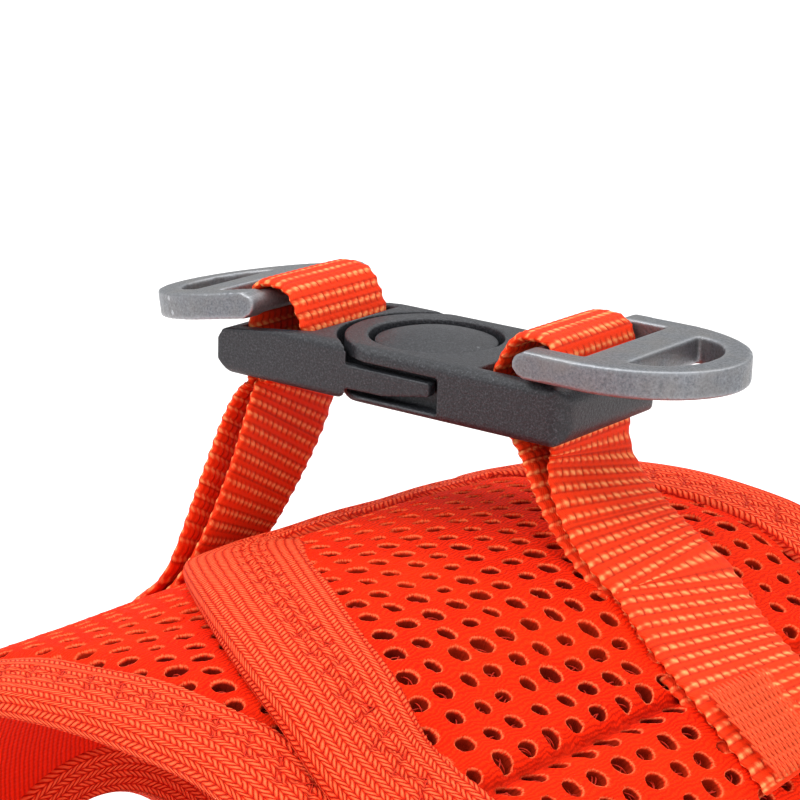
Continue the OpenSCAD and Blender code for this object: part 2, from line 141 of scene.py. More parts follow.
def angle_at(s):
    return np.interp(s, LENGTHS, ANGLES)


def length_at(u):
    return np.interp(u, ANGLES, LENGTHS)


def cloth(side, s, y, out=0.0):
    """Points on the left (-1) or right (1) half of the vest; the right half's wing lies over the left's."""
    u = angle_at(s)
    return skin(u, y, out + (lift(u) if side > 0 else lift(u) - WING_LIFT))


# ---- Mesh building ----

def new_piece(name, points, quads, uv=None, tone=None, material=None, slot=None):
    """An object from points in mm and quads of their numbers, with a UV in mm and a grey tone per point."""
    mesh = bpy.data.meshes.new(name)
    points = np.asarray(points, float).reshape(-1, 3)
    quads = np.asarray(quads, int).reshape(-1, 4)
    mesh.vertices.add(len(points))
    mesh.vertices.foreach_set("co", (points * MM).ravel())
    mesh.loops.add(quads.size)
    mesh.loops.foreach_set("vertex_index", quads.ravel())
    mesh.polygons.add(len(quads))
    mesh.polygons.foreach_set("loop_start", np.arange(0, quads.size, 4))
    mesh.update(calc_edges=True)
    if uv is not None:
        layer = mesh.uv_layers.new(name="cloth")
        layer.data.foreach_set("uv", np.asarray(uv, float).reshape(-1, 2)[quads.ravel()].ravel())
    if tone is not None:
        layer = mesh.color_attributes.new("tone", "FLOAT_COLOR", "POINT")
        tone = np.asarray(tone, float)
        if tone.ndim == 1:
            tone = np.stack([tone] * 3, axis=1)
        layer.data.foreach_set("color", np.concatenate([tone, np.ones((len(tone), 1))], axis=1).ravel())
    mesh.validate()
    mesh.shade_smooth()
    obj = bpy.data.objects.new(name, mesh)
    bpy.context.scene.collection.objects.link(obj)
    if material:
        mesh.materials.append(material)
    return obj


def grid_quads(n, m, wrap_n=False, wrap_m=False):
    """Quads of an n by m grid of points, closed round in either direction."""
    i = np.arange(n if wrap_n else n - 1)
    j = np.arange(m if wrap_m else m - 1)
    i, j = (a.ravel() for a in np.meshgrid(i, j, indexing="ij"))
    i2, j2 = (i + 1) % n, (j + 1) % m
    return np.stack([i * m + j, i2 * m + j, i2 * m + j2, i * m + j2], axis=1)


def unit(v):
    return v / np.maximum(np.linalg.norm(v, axis=-1, keepdims=True), 1e-9)


def tubes(paths, radius, normals, sides=5):
    """Round threads along paths (k, n, 3), as (points, quads). normals (k, n, 3) keep them from twisting."""
    paths = np.asarray(paths, float)
    k, n, _ = paths.shape
    along = unit(np.gradient(paths, axis=1))
    across = unit(np.cross(along, np.broadcast_to(normals, paths.shape)))
    up = np.cross(across, along)
    turn = np.arange(sides) * 2 * math.pi / sides
    ring = across[:, :, None] * np.cos(turn)[:, None] + up[:, :, None] * np.sin(turn)[:, None]
    radius = np.broadcast_to(np.asarray(radius, float), (k, n))
    points = paths[:, :, None] + ring * radius[:, :, None, None]
    one = grid_quads(n, sides, wrap_m=True)
    quads = one[None] + (np.arange(k) * n * sides)[:, None, None]
    return points.reshape(-1, 3), quads.reshape(-1, 4)


# ---- Node building ----

class Graph:
    """Short hands for a material's nodes. Numbers, colours and sockets can all be given as inputs."""

    def __init__(self, name, **shader):
        self.material = bpy.data.materials.new(name)
        self.material.use_nodes = True
        self.tree = self.material.node_tree
        self.shader = self.tree.nodes["Principled BSDF"]
        for key, value in shader.items():
            self.put(self.shader.inputs[key.replace("_", " ")], value)

    def put(self, socket, value):
        if isinstance(value, bpy.types.NodeSocket):
            self.tree.links.new(value, socket)
        elif isinstance(value, tuple) and len(value) == 3 and socket.type == "RGBA":
            socket.default_value = (*value, 1)
        else:
            socket.default_value = value

    def node(self, kind, inputs=(), out=0, **settings):
        n = self.tree.nodes.new("ShaderNode" + kind)
        for key, value in settings.items():
            setattr(n, key, value)
        for key, value in dict(inputs).items():
            self.put(n.inputs[key], value)
        return n.outputs[out]

    def math(self, op, a, b=0.0, c=0.0):
        return self.node("Math", {0: a, 1: b, 2: c}, operation=op)

    def uv(self):
        """The cloth's own directions in mm, as (along, across)."""
        uv = self.node("UVMap", uv_map="cloth")
        parts = self.tree.nodes.new("ShaderNodeSeparateXYZ")
        self.put(parts.inputs[0], uv)
        return parts.outputs[0], parts.outputs[1], uv

    def place(self):
        """The point's place in mm, at rest."""
        return self.node("VectorMath", {0: self.node("TexCoord", out=3), "Scale": 1000.0}, operation="SCALE")

    def tone(self):
        """The three channels of the points' tone."""
        split = self.tree.nodes.new("ShaderNodeSeparateColor")
        self.put(split.inputs[0], self.node("Attribute", attribute_name="tone"))
        return split.outputs[0], split.outputs[1], split.outputs[2]

    def noise(self, vector, scale, detail=2.0, rough=0.5):
        return self.node("TexNoise", {"Vector": vector, "Scale": scale, "Detail": detail, "Roughness": rough})

    def fit(self, value, low, high, to_low=0.0, to_high=1.0):
        return self.node("MapRange", {0: value, 1: low, 2: high, 3: to_low, 4: to_high})

    def mix(self, factor, a, b):
        n = self.tree.nodes.new("ShaderNodeMix")
        n.data_type = "RGBA"
        self.put(n.inputs[0], factor)
        self.put(n.inputs[6], a)
        self.put(n.inputs[7], b)
        return n.outputs[2]

    def bump(self, height, strength, distance):
        return self.node("Bump", {"Height": height, "Strength": strength, "Distance": distance})

    def set(self, **values):
        for key, value in values.items():
            self.put(self.shader.inputs[key.replace("_", " ")], value)
        return self.material


RED = (1.0, 0.02, 0.0012)
RIM_HIGHLIGHT_PEACH = (1.0, 0.22, 0.08)


def wave(g, value, period):
    """A cosine of value, from 0 to 1, of that period."""
    turned = g.math("MULTIPLY_ADD", value, 2 * math.pi / period)
    return g.math("MULTIPLY_ADD", g.math("COSINE", turned), 0.5, 0.5)


def air_mesh_material():
    """Knitted spacer mesh: tone's red is a painted highlight at a hole's rim, its green is painted shade down
    the hole, its blue is painted shade where seams and bindings press the mesh in.
    """
    g = Graph("air_mesh", Roughness=0.8, Sheen_Weight=0.05, Sheen_Roughness=0.5,
              Sheen_Tint=(1.0, 0.25, 0.1), Specular_IOR_Level=0.05)
    s, y, uv = g.uv()
    rim, down, shade = g.tone()
    drift = g.math("MULTIPLY", g.math("SUBTRACT", g.noise(uv, 0.45, 2), 0.5), 2.2)
    wales = wave(g, g.math("ADD", s, drift), 0.62)
    courses = wave(g, g.math("ADD", y, g.math("MULTIPLY", wales, 0.25)), 0.5)
    yarn = g.math("MULTIPLY", wales, g.math("MULTIPLY_ADD", courses, 0.5, 0.5))
    fuzz = g.noise(uv, 5.0, 3, 0.7)
    base = g.mix(g.fit(yarn, 0.05, 0.7), (0.55, 0.006, 0.0005), RED)
    base = g.mix(g.math("MULTIPLY", g.fit(fuzz, 0.55, 0.75), 0.35), base, (1.0, 0.08, 0.02))
    # Painted highlight in peach round each hole's rim, brightest where the fuzz is
    painted_rim_highlight = g.math("MULTIPLY", g.fit(g.math("ADD", fuzz, g.math("MULTIPLY", rim, 0.35)), 0.62, 0.85), rim)
    base = g.mix(painted_rim_highlight, base, RIM_HIGHLIGHT_PEACH)
    # Painted shade where the seams and bindings press the mesh in
    base = g.mix(g.math("MULTIPLY", g.fit(shade, 0.35, 1.0), 0.6), base, (0.30, 0.004, 0.001))
    # Painted shade down each hole's wall and on the dark floor that closes it
    base = g.mix(g.fit(down, 0.1, 0.5), base, (0.12, 0.003, 0.001))
    patch = g.noise(uv, 0.06, 2)
    base = g.mix(g.fit(patch, 0.35, 0.7, 0.0, 0.25), base, (1.0, 0.05, 0.004))
    height = g.math("ADD", g.math("MULTIPLY", yarn, 0.7), g.math("MULTIPLY", fuzz, 0.6))
    return g.set(Base_Color=base, Normal=g.bump(height, 0.55, 0.00022))


def lining_material():
    """Fine flat knit inside the vest, with ribs round it."""
    g = Graph("mesh_lining", Roughness=0.85, Sheen_Weight=0.05, Sheen_Roughness=0.5, Specular_IOR_Level=0.05)
    s, y, uv = g.uv()
    ribs = wave(g, g.math("ADD", y, g.math("MULTIPLY", g.noise(uv, 0.5, 2), 0.5)), 0.9)
    stitches = wave(g, s, 0.7)
    fine = g.noise(uv, 4.0, 3, 0.7)
    base = g.mix(g.fit(ribs, 0.0, 0.7), (0.50, 0.006, 0.001), (0.85, 0.016, 0.001))
    base = g.mix(g.math("MULTIPLY", fine, 0.35), base, (1.0, 0.05, 0.01))
    height = g.math("ADD", ribs, g.math("MULTIPLY", stitches, 0.4))
    return g.set(Base_Color=base, Normal=g.bump(height, 0.6, 0.0002))


def thread_material(name, colour, rough=0.6):
    """Plain fine thread with a twist."""
    g = Graph(name, Roughness=rough, Sheen_Weight=0.05, Specular_IOR_Level=0.12)
    twist = g.noise(g.place(), 3.0, 2, 0.6)
    base = g.mix(g.fit(twist, 0.3, 0.7), tuple(0.55 * c for c in colour), colour)
    return g.set(Base_Color=base, Normal=g.bump(twist, 0.4, 0.0001))


def tape_material():
    """Chunky knit of the bindings: columns of slanted floats that change slant down the tape's middle."""
    g = Graph("binding_tape", Roughness=0.75, Sheen_Weight=0.08, Sheen_Roughness=0.4,
              Sheen_Tint=(1.0, 0.3, 0.15), Specular_IOR_Level=0.08)
    along, across, uv = g.uv()
    groove, _, _ = g.tone()
    wobble = g.math("MULTIPLY", g.math("SUBTRACT", g.noise(uv, 0.8, 2), 0.5), 0.55)
    column = g.math("DIVIDE", g.math("ADD", across, wobble), 1.15)
    slant = g.math("MULTIPLY", g.math("PINGPONG", column, 1.0), 1.5)
    row = g.math("ADD", g.math("DIVIDE", along, 0.95), slant)
    dash = g.math("SINE", g.math("MULTIPLY", g.math("FRACT", row), math.pi))
    lane = g.math("SINE", g.math("MULTIPLY", g.math("FRACT", column), math.pi))
    float_height = g.math("MULTIPLY", g.math("POWER", dash, 0.8), g.math("POWER", lane, 0.45))
    fuzz = g.noise(uv, 3.5, 3, 0.7)
    bright = g.fit(g.math("ADD", float_height, g.math("MULTIPLY", fuzz, 0.6)), 0.75, 1.35)
    base = g.mix(g.fit(float_height, 0.1, 0.6), (0.46, 0.005, 0.001), (1.0, 0.035, 0.004))
    base = g.mix(g.math("MULTIPLY", bright, 0.85), base, (1.0, 0.19, 0.07))
    # Painted shade in the zigzag seam's groove and along the tape's edges
    base = g.mix(g.math("MULTIPLY", groove, 0.8), base, (0.36, 0.004, 0.001))
    height = g.math("ADD", float_height, g.math("MULTIPLY", fuzz, 0.25))
    return g.set(Base_Color=base, Normal=g.bump(height, 0.8, 0.0004))


def webbing_material():
    """Ribbed webbing: tone's red is 1 on the pale floats, its green is painted shade in the gaps."""
    g = Graph("webbing", Roughness=0.6, Sheen_Weight=0.06, Sheen_Roughness=0.35,
              Sheen_Tint=(1.0, 0.4, 0.2), Specular_IOR_Level=0.12)
    pale, gap, _ = g.tone()
    along, across, uv = g.uv()
    strands = wave(g, g.math("ADD", across, g.math("MULTIPLY", along, 0.35)), 0.32)
    fuzz = g.noise(uv, 3.0, 3, 0.7)
    base = g.mix(fuzz, (0.78, 0.022, 0.002), (1.0, 0.055, 0.005))
    # Painted shade in the gaps between ribs and rows
    base = g.mix(g.math("MULTIPLY", gap, 0.9), base, (0.22, 0.004, 0.001))
    base = g.mix(g.math("MULTIPLY", pale, g.fit(fuzz, 0.25, 0.6, 0.75, 1.0)), base, (1.0, 0.40, 0.14))
    height = g.math("ADD", g.math("MULTIPLY", strands, 0.5), fuzz)
    return g.set(Base_Color=base, Normal=g.bump(height, 0.5, 0.00016))


def plastic_material():
    """Moulded nylon with a fine spark-eroded grain, painted glints in the grain and a painted highlight along
    the convex edges.
    """
    g = Graph("clasp_plastic", Specular_IOR_Level=0.4, IOR=1.5)
    place = g.place()
    grain = g.node("TexVoronoi", {"Vector": place, "Scale": 2.4}, feature="F1")
    fine = g.noise(place, 5.0, 3, 0.65)
    # Painted highlight along the convex edges, found by pointiness
    edge_wear_and_highlight = g.fit(g.node("NewGeometry", out=7), 0.52, 0.60)
    painted_edge_highlight = g.math("MULTIPLY", edge_wear_and_highlight, g.fit(g.noise(place, 0.8, 3), 0.35, 0.6, 0.3, 1.0))
    # Painted glints: sparse bright speckles in the grain
    painted_glints = g.math("POWER", g.fit(g.noise(place, 3.2, 4, 0.8), 0.42, 0.72), 2.0)
    base = g.mix(painted_glints, (0.010, 0.011, 0.014), (0.10, 0.105, 0.12))
    base = g.mix(g.math("MULTIPLY", painted_edge_highlight, 0.6), base, (0.16, 0.165, 0.18))
    rough = g.fit(fine, 0.3, 0.75, 0.55, 0.34)
    height = g.math("ADD", g.math("MULTIPLY", grain, 0.7), fine)
    return g.set(Base_Color=base, Roughness=rough, Normal=g.bump(height, 0.4, 0.0002))


def metal_material():
    """Cast and tumbled alloy, grey with a dull skin."""
    g = Graph("ring_metal", Metallic=0.82)
    place = g.place()
    sand = g.noise(place, 2.6, 4, 0.7)
    cloud = g.noise(place, 0.22, 2)
    # Tumbled wear lightens the convex edges
    edge_wear_and_highlight = g.fit(g.node("NewGeometry", out=7), 0.50, 0.57)
    base = g.mix(g.fit(sand, 0.3, 0.7), (0.10, 0.108, 0.12), (0.24, 0.25, 0.27))
    base = g.mix(g.fit(cloud, 0.4, 0.7, 0.0, 0.5), base, (0.21, 0.195, 0.18))
    base = g.mix(g.math("MULTIPLY", edge_wear_and_highlight, 0.6), base, (0.55, 0.57, 0.60))
    rough = g.fit(sand, 0.3, 0.7, 0.50, 0.34)
    return g.set(Base_Color=base, Roughness=rough, Normal=g.bump(sand, 0.35, 0.00022))


def spring_material():
    """Drawn steel wire."""
    g = Graph("spring_wire", Metallic=1.0)
    lines = g.noise(g.place(), 6.0, 2)
    base = g.mix(lines, (0.42, 0.42, 0.43), (0.62, 0.62, 0.64))
    return g.set(Base_Color=base, Roughness=g.fit(lines, 0.3, 0.7, 0.25, 0.4))


# ---- Air mesh ----

HOLE_PITCH = 4.6
ROW_PITCH = HOLE_PITCH * math.sqrt(3) / 2
LINING_OUT = -2.35
HOLE_FLOOR = -2.2        # the lowest that a hole reaches, just outside the lining
CELL_POINTS = 12
RAGGED_FROM = 1.5        # rings smaller than this are ragged
THREAD_R, THREAD_REACH, THREAD_POINTS = 0.10, 1.25, 6
LINING_STEP = 1.6
# Rings of one hole from its cell's outline inwards: (radius, height, painted rim highlight, painted shade
# down the hole); the last ring closes the hole with a floor in painted shade
HOLE_RINGS = [(1.80, 0.02, 0.0, 0.0), (1.46, 0.0, 0.35, 0.0), (1.30, -0.16, 0.9, 0.0), (1.20, -0.6, 0.3, 0.5),
              (1.14, -1.2, 0.0, 0.9), (1.14, -2.0, 0.0, 1.0), (0.03, -2.15, 0.0, 1.0)]


# Every panel: its half of the vest, its angles, and whether it lies before (-1) or behind (1) a leg
PANELS = {
    "left_wing": (-1, LEFT_SEAM, LEFT_END, 0),
    "left_side_panel": (-1, -LEG_TOP, LEFT_SEAM, 0),
    "left_shoulder_panel": (-1, -LEG_BOTTOM, -LEG_TOP, -1),
    "left_girth_panel": (-1, -LEG_BOTTOM, -LEG_TOP, 1),
    "chest_panel_left": (-1, -180.0, -LEG_BOTTOM, 0),
    "right_wing": (1, MESH_EDGE, RIGHT_SEAM, 0),
    "right_side_panel": (1, RIGHT_SEAM, LEG_TOP, 0),
    "right_shoulder_panel": (1, LEG_TOP, LEG_BOTTOM, -1),
    "right_girth_panel": (1, LEG_TOP, LEG_BOTTOM, 1),
    "chest_panel_right": (1, LEG_BOTTOM, 180.0, 0),
}


def pressed(side, s, y):
    """How far the mesh stands out at this place, in mm: pulled in by the seams, with slow waves between."""
    u = angle_at(s)
    front = neck_hem(u) + HEM_TAPE if side < 0 else wing_front(u) + wing_tape(u)
    rear = rear_hem(u) - HEM_TAPE
    leg = np.hypot((np.abs(u) - LEG_ANGLE) / (LEG_HALF_ANGLE + LEG_TAPE_ANGLE),
                   (y - LEG_Y) / (LEG_HALF + LEG_TAPE))
    gaps = [y - front, rear - y, (leg - 1) * (LEG_HALF + LEG_TAPE)]
    if side > 0:
        gaps.append(s - length_at(WING_TAPE_EDGE))
    out = 0.35 * np.ones_like(s)
    for gap in gaps:
        gap = np.maximum(gap, 0)
        out = out - 0.95 * np.exp(-(gap / 2.4) ** 2)
    seam = length_at(LEFT_SEAM if side < 0 else RIGHT_SEAM)
    out = out - 1.9 * np.exp(-((s - seam) / 1.3) ** 2)
    out = out + 0.5 * np.exp(-((s - seam + 4 * side) / 3) ** 2)
    wave_out = 0.22 * np.sin(s / 9.0 + y / 13.0) * np.sin(y / 11.0 - s / 23.0 + 1.0)
    return np.maximum(out, -1.5) + wave_out


def mesh_limits(side, u):
    """The stations that the mesh runs between at angle u, tucked a little under the bindings."""
    tuck = 4.0
    front = neck_hem(u) + HEM_TAPE if side < 0 else wing_front(u) + wing_tape(u)
    return front - tuck, rear_hem(u) - HEM_TAPE + tuck


def leg_measure(u, y):
    """Below 1 inside the middle of a leg opening's binding."""
    return np.hypot((np.abs(u) - LEG_ANGLE) / (LEG_HALF_ANGLE + LEG_TAPE_ANGLE / 2),
                    (y - LEG_Y) / (LEG_HALF + LEG_TAPE / 2))


def hole_centres(side):
    """Centres (s, y) of the holes in one half of the vest, in staggered rows along the back."""
    ends = (length_at(-180), length_at(LEFT_END)) if side < 0 else (length_at(MESH_EDGE), length_at(180))
    rows = np.arange(math.floor(ends[0] / ROW_PITCH), math.ceil(ends[1] / ROW_PITCH) + 1)
    cols = np.arange(math.floor(-62 / HOLE_PITCH), math.ceil(62 / HOLE_PITCH) + 1)
    row, col = np.meshgrid(rows, cols, indexing="ij")
    s = row * ROW_PITCH
    y = (col + 0.5 * (row % 2)) * HOLE_PITCH
    u = angle_at(s)
    front, rear = mesh_limits(side, u)
    keep = (s > ends[0] - 1) & (s < ends[1] + 1) & (y > front - 1) & (y < rear + 1)
    keep &= leg_measure(u, y) > 1
    return s[keep], y[keep], ends


def build_air_mesh(side, material, lining, thread, rng):
    """The outer face, spacer threads and lining of every panel in one half of the vest."""
    s0, y0, ends = hole_centres(side)
    u0 = angle_at(s0)
    corners = np.arange(CELL_POINTS) * 2 * math.pi / CELL_POINTS
    reach = HOLE_PITCH / 2 / np.cos(corners % (math.pi / 3) - math.pi / 6)
    outline = np.stack([np.sin(corners + math.pi / 2) * reach, np.cos(corners + math.pi / 2) * reach], axis=1)
    for name, (half, low, high_u, leg) in PANELS.items():
        if half != side:
            continue
        pick = (u0 >= low) & (u0 < high_u) & (leg * (y0 - LEG_Y) >= 0)
        s, y = s0[pick], y0[pick]
        count = len(s)
        swell = 1 + 0.10 * rng.standard_normal((count, 1))
        oval = 1 + 0.07 * rng.standard_normal((count, 1))
        nudge = 0.13 * rng.standard_normal((count, 2))
        cells = (count, CELL_POINTS)
        ds, dy = ([np.broadcast_to(outline[:, axis], cells)] for axis in (0, 1))
        high, rim, hole_shade = ([np.zeros(cells)] for _ in range(3))
        # Each ring carries its painted rim highlight and its painted shade down the hole
        for radius, height, rim_highlight_tone, hole_shade_tone in HOLE_RINGS:
            uneven = radius < RAGGED_FROM
            ragged = 1 + 0.045 * rng.standard_normal(cells) * uneven
            ds.append(nudge[:, :1] + np.cos(corners) * radius * swell * oval * ragged)
            dy.append(nudge[:, 1:] - np.sin(corners) * radius * swell / oval * ragged)
            high.append(np.full(cells, height) + 0.05 * rng.standard_normal(cells) * uneven)
            rim.append(np.full(cells, rim_highlight_tone))
            hole_shade.append(np.full(cells, hole_shade_tone))
        ds, dy, high, rim, hole_shade = (np.stack(v, axis=1) for v in (ds, dy, high, rim, hole_shade))
        ps = np.clip(s[:, None, None] + ds, *ends)
        py = y[:, None, None] + dy
        front, rear = mesh_limits(side, angle_at(ps))
        py = np.clip(py, front - 1, rear + 1)
        inset = pressed(side, ps, py)
        points = cloth(side, ps, py, np.maximum(inset + high, HOLE_FLOOR)).reshape(-1, 3)
        rings = len(HOLE_RINGS) + 1
        one = grid_quads(rings, CELL_POINTS, wrap_m=True)
        quads = (one[None] + (np.arange(count) * rings * CELL_POINTS)[:, None, None]).reshape(-1, 4)
        uv = np.stack([ps.ravel(), py.ravel()], axis=1)
        # The blue tone is painted shade, deeper where the mesh is pressed in
        shade = np.clip(0.1 - inset, 0, 1)
        tone = np.stack([rim.ravel(), hole_shade.ravel(), shade.ravel()], axis=1)
        # Neighbouring cells share the points of their outlines
        keys = np.round(points / 0.02).astype(np.int64)
        _, first, back = np.unique(keys, axis=0, return_index=True, return_inverse=True)
        quads = back.ravel()[quads]
        points, uv, tone = points[first], uv[first], tone[first]
        sizes = [len(set(q)) for q in quads.tolist()]
        quads = quads[np.array(sizes) == 4]
        face = new_piece(name + "_mesh", points, quads, uv, tone, material, "air_mesh")
        # Two monofilaments cross each hole
        turn = rng.uniform(0, math.pi, (count, 2))
        offset = rng.uniform(-0.45, 0.45, (count, 2))
        bow = rng.uniform(-0.3, 0.3, (count, 2))
        t = np.linspace(-1, 1, THREAD_POINTS)
        run = t * THREAD_REACH
        aside = offset[..., None] + bow[..., None] * t * t
        cos, sin = np.cos(turn)[..., None], np.sin(turn)[..., None]
        ls, ly = cos * run - sin * aside, sin * run + cos * aside
        ts, ty = s[:, None, None] + ls, y[:, None, None] + ly
        ts = np.clip(ts, *ends)
        out = -0.95 - 0.5 * t * t + rng.uniform(-0.35, 0.25, (count, 2, 1))
        paths = cloth(side, ts, ty, pressed(side, ts, ty) + out).reshape(-1, THREAD_POINTS, 3)
        normals = unit(cloth(side, ts, ty, 1.0) - cloth(side, ts, ty)).reshape(-1, THREAD_POINTS, 3)
        threads = new_piece(name + "_spacer_threads", *tubes(paths, THREAD_R, normals, 4),
                            material=thread, slot="air_mesh")
        inner, flat, area = build_lining(name, lining)
        for piece in (face, threads, inner):
            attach(piece, "vest")
        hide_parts("chest_panel" if name.startswith("chest") else name)


def panel_patch(u0, u1, front, rear):
    """A grid of points (s, y) over a patch, from angle u0 to u1 and from front(u) to rear(u)."""
    start, end = length_at(u0), length_at(u1)
    s = np.linspace(start, end, max(3, int(abs(end - start) / LINING_STEP)))
    u = angle_at(s)
    f, r = front(u), rear(u)
    v = np.linspace(0, 1, max(3, int((r - f).max() / LINING_STEP)))
    y = f[:, None] + (r - f)[:, None] * v
    return np.broadcast_to(s[:, None], y.shape), y


def leg_reach(u):
    """Half the length of the leg opening's binding at angle u, at the binding's middle."""
    t = (np.abs(u) - LEG_ANGLE) / (LEG_HALF_ANGLE + LEG_TAPE_ANGLE / 2)
    return (LEG_HALF + LEG_TAPE / 2) * np.sqrt(np.maximum(0, 1 - t * t))


def build_lining(name, material):
    """The flat knit inside one panel, with the width, length and area that it is cut to, in metres."""
    side, u0, u1, leg = PANELS[name]

    def front(u):
        return LEG_Y + leg_reach(u) if leg > 0 else mesh_limits(side, u)[0]

    def rear(u):
        return LEG_Y - leg_reach(u) if leg < 0 else mesh_limits(side, u)[1]

    s, y = panel_patch(u0, u1, front, rear)
    piece = new_piece(name + "_lining", cloth(side, s, y, LINING_OUT), grid_quads(*s.shape),
                      np.stack([s.ravel(), y.ravel()], axis=1), None, material, "air_mesh")
    lengths = y[:, -1] - y[:, 0]
    flat = (float(np.ptp(s)) * MM, float(lengths.max()) * MM)
    area = float(np.sum((lengths[1:] + lengths[:-1]) / 2 * np.abs(np.diff(s[:, 0])))) * MM * MM
    return piece, flat, min(area, flat[0] * flat[1])


# ---- Bindings ----

TAPE_STEP = 0.5
ZIGZAG_PERIOD, ZIGZAG_REACH = 5.2, 1.9
ZIGZAG_MIDDLE = 0.56     # of the tape's width from the hem
LIP = 0.06               # of the tape's width, rounded at the fold
SEAM_R = 0.11


def resample(path, step):
    """A polyline (n, k) at even steps along it, with the distance to each point."""
    run = np.concatenate([[0], np.cumsum(np.linalg.norm(np.diff(path, axis=0), axis=1))])
    t = np.linspace(0, run[-1], max(4, int(run[-1] / step)))
    return np.stack([np.interp(t, run, path[:, k]) for k in range(path.shape[1])], axis=1), t


def soften_path(path, reach):
    """A polyline with its corners rounded over about reach points, its ends kept."""
    k = np.arange(-3 * reach, 3 * reach + 1)
    weights = np.exp(-0.5 * (k / reach) ** 2)
    weights /= weights.sum()
    lead = 2 * path[0] - path[1:3 * reach + 1][::-1]
    tail = 2 * path[-1] - path[-3 * reach - 1:-1][::-1]
    whole = np.concatenate([lead, path, tail])
    return np.stack([np.convolve(whole[:, i], weights, "valid") for i in range(path.shape[1])], axis=1)


def zigzag(t, middle):
    """The seam's distance from the hem at each place along it."""
    return middle + ZIGZAG_REACH * (4 * np.abs((t / ZIGZAG_PERIOD) % 1 - 0.5) - 1)


def build_tape(name, nodes, side, path, width, inward, materials, closed=False, lean=1.0):
    """A binding folded over a hem. path (n, 2) is the hem in (s, y), and width its width at each point."""
    tape, seam = materials
    t_in = np.linspace(0, 1, len(path))
    path, t = resample(path, TAPE_STEP)
    width = np.interp(np.linspace(0, 1, len(path)), t_in, np.broadcast_to(width, t_in.shape))
    if closed:
        path, t, width = path[:-1], t[:-1], width[:-1]
        ends = np.concatenate([path[-1:], path, path[:1]])
        heading = unit(ends[2:] - ends[:-2])
    else:
        heading = unit(np.gradient(path, axis=0))
    normal = inward * np.stack([-heading[:, 1], heading[:, 0]], axis=1)
    period = t[-1] / max(1, round(t[-1] / ZIGZAG_PERIOD)) if closed else ZIGZAG_PERIOD
    turns = t / period * ZIGZAG_PERIOD
    outside, inside = np.linspace(1, LIP, 28), np.linspace(LIP, 1, 14)
    fold = np.linspace(0, math.pi, 9)[1:-1]
    top, bottom = TAPE_PROUD, -MESH_T - TAPE_PROUD
    middle, half = (top + bottom) / 2, (top - bottom) / 2
    scallop = 0.28 * np.abs(np.sin(math.pi * t / 1.7)) + 0.25 * np.sin(t / 4.3 + lean) - 0.1
    rows, outs, across, tape_shade = [], [], [], []
    for f in outside:
        v = f * (width + scallop)
        edge = smooth((v - (width + scallop - 0.9)) / 0.9)
        gap = np.abs(v - zigzag(turns, ZIGZAG_MIDDLE * width)) * 0.56
        groove = np.exp(-(gap / 0.34) ** 2)
        crown = 0.30 * np.sin(math.pi * np.clip(v / width, 0, 1))
        crown = crown + 0.10 * np.sin(t / 3.1) * np.sin(v / 2.3)
        rows.append(v)
        outs.append(top + crown - 1.15 * edge - 0.36 * groove)
        across.append(v)
        # Painted shade in the seam's groove and where the tape turns down at its edge
        tape_shade.append(np.clip(0.8 * groove + 0.9 * edge, 0, 1))
    lip = LIP * width
    for a in fold:
        rows.append(lip * (1 - np.sin(a)))
        outs.append(np.full_like(t, middle + half * np.cos(a)))
        across.append(lip - a * half)
        tape_shade.append(np.zeros_like(t))
    for f in inside:
        v = f * (width + scallop)
        edge = smooth((v - (width - 0.9)) / 0.9)
        rows.append(v)
        outs.append(bottom - 0.15 * np.sin(math.pi * np.clip(v / width, 0, 1)) + 0.9 * edge)
        across.append(-math.pi * half - v)
        # Painted shade along the inner ply's edge
        tape_shade.append(0.7 * edge)
    rows, outs, across, tape_shade = (np.stack(v, axis=1) for v in (rows, outs, across, tape_shade))
    s = path[:, :1] + normal[:, :1] * rows
    y = path[:, 1:] + normal[:, 1:] * rows
    span = t
    if not closed:    # each cut end closes at the middle of the fold
        s, y, across, tape_shade, span = (np.concatenate([v[:1], v, v[-1:]]) for v in (s, y, across, tape_shade, span))
        level = np.full_like(outs[:1], middle)
        outs = np.concatenate([level, outs, level])
    points = cloth(side, s, y, outs)
    uv = np.stack([np.broadcast_to(span[:, None], across.shape), across], axis=-1)
    tone = np.stack([tape_shade] * 3, axis=-1).reshape(-1, 3)
    quads = grid_quads(*s.shape, wrap_n=closed)
    if inward < 0:
        quads = quads[:, ::-1]
    piece = new_piece(name, points, quads, uv, tone, tape, "binding_tape")
    # The zigzag seam's thread, one straight stitch from each turn to the next
    turn_at = np.arange(0.25, t[-1] / period - 0.3, 0.5) * period
    pairs = np.stack([turn_at[:-1], turn_at[1:]], axis=1)
    st = pairs[:, :1] + (pairs[:, 1:] - pairs[:, :1]) * np.linspace(0, 1, 7)
    sink = 0.16 - 0.34 * np.array([1.0, 0.25, 0.0, 0.0, 0.0, 0.25, 1.0])
    w = np.interp(st, t, width)
    v = zigzag(st / period * ZIGZAG_PERIOD, ZIGZAG_MIDDLE * w)
    ps, py = np.interp(st, t, path[:, 0]), np.interp(st, t, path[:, 1])
    ns, ny = np.interp(st, t, normal[:, 0]), np.interp(st, t, normal[:, 1])
    s2, y2 = ps + ns * v, py + ny * v
    out = top + sink - 0.14
    line = cloth(side, s2, y2, out)
    facing = unit(cloth(side, s2, y2, out + 1) - line)
    thread = new_piece(name + "_seam", *tubes(line, SEAM_R, facing), material=seam, slot="binding_tape")
    for obj in (piece, thread):
        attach(obj, "vest")
    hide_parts(*nodes)


def hem_path(u0, u1, hem):
    """The hem's line (s, y) from angle u0 to u1."""
    s = np.linspace(length_at(u0), length_at(u1), 400)
    return np.stack([s, hem(angle_at(s))], axis=1)


